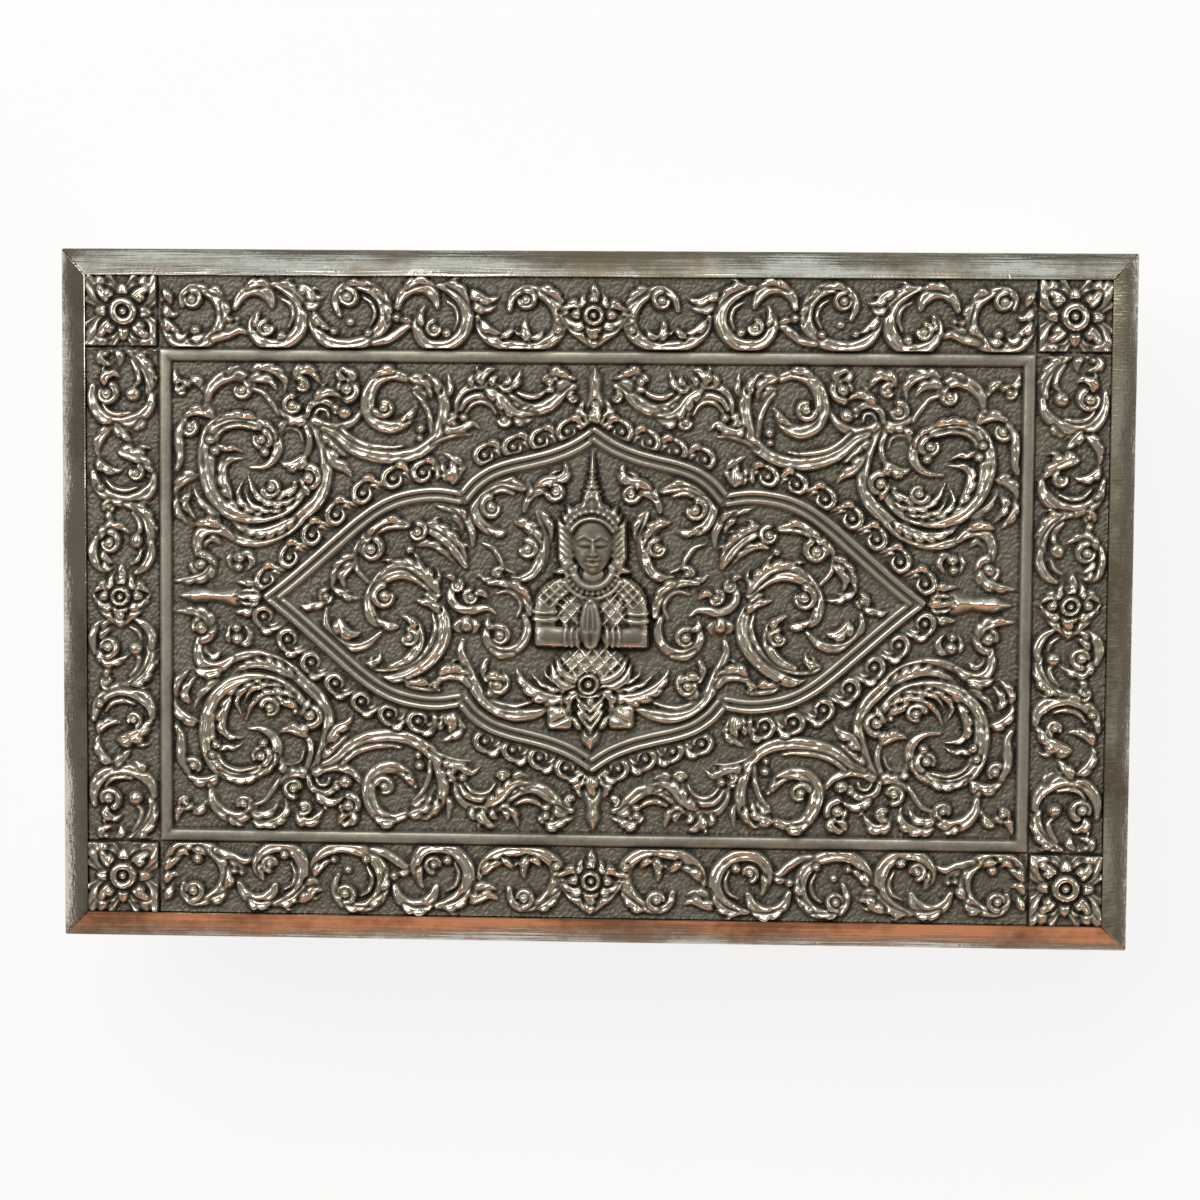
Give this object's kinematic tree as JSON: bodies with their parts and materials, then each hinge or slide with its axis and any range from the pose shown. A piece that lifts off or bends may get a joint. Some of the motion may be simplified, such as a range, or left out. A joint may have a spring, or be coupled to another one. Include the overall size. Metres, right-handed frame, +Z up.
{
  "type": "hinged cigar box",
  "caption": "Rectangular hinged silver box with a bevelled, scroll-chased lid, a cedar lining and a plain base moulding, for holding cigars.",
  "frame": {"origin": "centre of the base, on the surface that the box stands on", "axes": "+Z up, +X along the long side to the right, +Y towards the hinge at the back, so the front is at -Y"},
  "size_m": [0.21, 0.136, 0.0545],
  "materials": {
    "plain_silver": "satin sheet silver",
    "polished_silver": "polished, slightly worn silver",
    "chased_silver": "oxidised in the recesses, bright on the raised parts",
    "hinge_silver": "satin",
    "cedar": "planed, unvarnished"
  },
  "bodies": {
    "box": {"wall_front": "plain_silver", "wall_back": "plain_silver", "wall_left": "plain_silver", "wall_right": "plain_silver", "base_plate": "plain_silver", "base_moulding_front": "polished_silver", "base_moulding_back": "polished_silver", "base_moulding_left": "polished_silver", "base_moulding_right": "polished_silver", "cedar_floor": "cedar", "cedar_front": "cedar", "cedar_back": "cedar", "cedar_left": "cedar", "cedar_right": "cedar", "hinge_bearer_box": "hinge_silver", "hinge_knuckle_1_box": "hinge_silver", "hinge_knuckle_3_box": "hinge_silver", "hinge_knuckle_5_box": "hinge_silver", "hinge_knuckle_7_box": "hinge_silver", "hinge_pin": "hinge_silver"},
    "lid": {"lid_plate": "chased_silver", "lid_frame_front": "polished_silver", "lid_frame_back": "polished_silver", "lid_frame_left": "polished_silver", "lid_frame_right": "polished_silver", "skirt_front": "plain_silver", "skirt_back": "plain_silver", "skirt_left": "plain_silver", "skirt_right": "plain_silver", "lid_board": "cedar", "hinge_bearer_lid": "hinge_silver", "hinge_knuckle_2_lid": "hinge_silver", "hinge_knuckle_4_lid": "hinge_silver", "hinge_knuckle_6_lid": "hinge_silver"}
  },
  "joints": [
    {"name": "lid_hinge", "type": "hinge", "parent": "box", "child": "lid", "pos_m": [0, 0.0662, 0.0361], "axis": [-1, 0, 0], "range_deg": [0, 100]}
  ]
}
